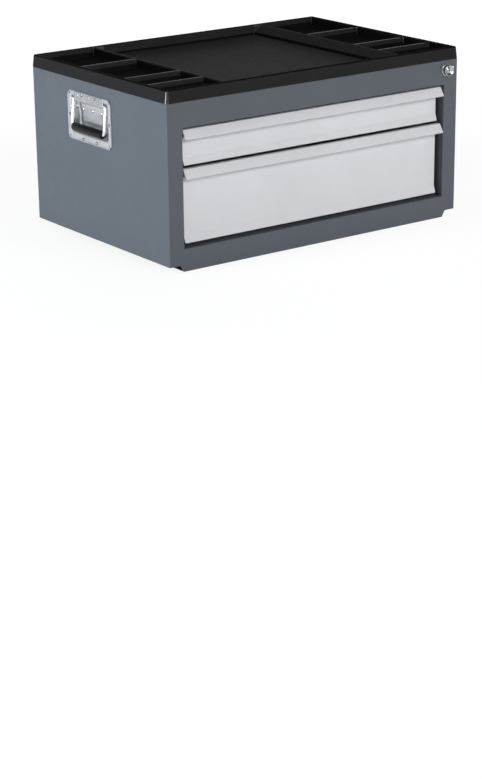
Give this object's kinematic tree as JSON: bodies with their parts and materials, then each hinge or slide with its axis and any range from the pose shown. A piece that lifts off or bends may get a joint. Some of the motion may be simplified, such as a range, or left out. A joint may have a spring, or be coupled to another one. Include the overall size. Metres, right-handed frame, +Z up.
{
  "type": "tool chest",
  "caption": "Sheet-steel top tool chest with sliding drawers, a compartment tray on top, a front lock and folding side handles.",
  "frame": {"origin": "middle of the plinth's flat underside, on the plane that the chest stands on", "axes": "+Z up, +X to the right seen from the front, the drawers open towards -Y"},
  "size_m": [0.714, 0.472, 0.3395],
  "materials": {
    "body_paint": "slate powder coat, satin",
    "drawer_paint": "light grey powder coat, satin",
    "tray_plastic": "fine grained black moulding",
    "chrome": "bright plated",
    "zinc_steel": "zinc plated",
    "rubber": "matt black",
    "guide_plastic": "black nylon",
    "grip_plastic": "soft black sleeve"
  },
  "bodies": {
    "cabinet": {"front_frame": "body_paint", "side_panel_left": "body_paint", "side_panel_right": "body_paint", "back_panel": "body_paint", "base_pan": "body_paint", "top_deck": "body_paint", "rear_upright_left": "body_paint", "rear_upright_right": "body_paint", "top_tray": "tray_plastic", "back_panel_rivets": "zinc_steel", "plinth_rivet_nuts": "zinc_steel", "lock_nut": "zinc_steel", "lock_housing": "chrome", "lock_bar_guides": "guide_plastic", "rail_stops": "rubber", "drawer_1_outer_rail_left": "zinc_steel", "drawer_1_outer_rail_right": "zinc_steel", "drawer_2_outer_rail_left": "zinc_steel", "drawer_2_outer_rail_right": "zinc_steel", "handle_dish_left": "chrome", "handle_bridge_left": "chrome", "handle_rivets_left": "chrome", "handle_dish_right": "chrome", "handle_bridge_right": "chrome", "handle_rivets_right": "chrome"},
    "drawer_1": {"drawer_1_inner_rail_left": "zinc_steel", "drawer_1_inner_rail_right": "zinc_steel", "drawer_1_box": "drawer_paint", "drawer_1_front": "drawer_paint", "drawer_1_liner": "rubber", "drawer_1_catch": "zinc_steel"},
    "drawer_1_runners": {"drawer_1_middle_rail_left": "zinc_steel", "drawer_1_middle_rail_right": "zinc_steel"},
    "drawer_2": {"drawer_2_inner_rail_left": "zinc_steel", "drawer_2_inner_rail_right": "zinc_steel", "drawer_2_box": "drawer_paint", "drawer_2_front": "drawer_paint", "drawer_2_liner": "rubber", "drawer_2_catch": "zinc_steel"},
    "drawer_2_runners": {"drawer_2_middle_rail_left": "zinc_steel", "drawer_2_middle_rail_right": "zinc_steel"},
    "lock_core": {"lock_plug": "chrome", "lock_cam": "zinc_steel", "lock_cam_screw": "zinc_steel"},
    "lock_bar": {"lock_bar": "zinc_steel"},
    "handle_left": {"handle_bail_left": "chrome", "handle_grip_left": "grip_plastic"},
    "handle_right": {"handle_bail_right": "chrome", "handle_grip_right": "grip_plastic"}
  },
  "joints": [
    {"name": "drawer_1_slide", "type": "slide", "parent": "cabinet", "child": "drawer_1", "axis": [0, -1, 0], "range_m": [0, 0.39]},
    {"name": "drawer_1_runner_slide", "type": "slide", "parent": "cabinet", "child": "drawer_1_runners", "axis": [0, -1, 0], "range_m": [0, 0.195]},
    {"name": "drawer_2_slide", "type": "slide", "parent": "cabinet", "child": "drawer_2", "axis": [0, -1, 0], "range_m": [0, 0.39]},
    {"name": "drawer_2_runner_slide", "type": "slide", "parent": "cabinet", "child": "drawer_2_runners", "axis": [0, -1, 0], "range_m": [0, 0.195]},
    {"name": "lock_turn", "type": "hinge", "parent": "cabinet", "child": "lock_core", "pos_m": [0.3175, -0.24, 0.296], "axis": [0, -1, 0], "range_deg": [0, 90]},
    {"name": "lock_bar_lift", "type": "slide", "parent": "cabinet", "child": "lock_bar", "axis": [0, 0, 1], "range_m": [0, 0.01131]},
    {"name": "handle_left_swing", "type": "hinge", "parent": "cabinet", "child": "handle_left", "pos_m": [-0.3438, 0.028, 0.278], "axis": [0, 1, 0], "range_deg": [0, 84.5]},
    {"name": "handle_right_swing", "type": "hinge", "parent": "cabinet", "child": "handle_right", "pos_m": [0.3438, 0.028, 0.278], "axis": [0, -1, 0], "range_deg": [0, 84.5]}
  ],
  "couplings": [
    {"joint": "drawer_1_runner_slide", "follows": "drawer_1_slide", "ratio": 0.5},
    {"joint": "drawer_2_runner_slide", "follows": "drawer_2_slide", "ratio": 0.5},
    {"joint": "lock_turn", "follows": "lock_bar_lift", "rad_per_m": 138.83}
  ]
}
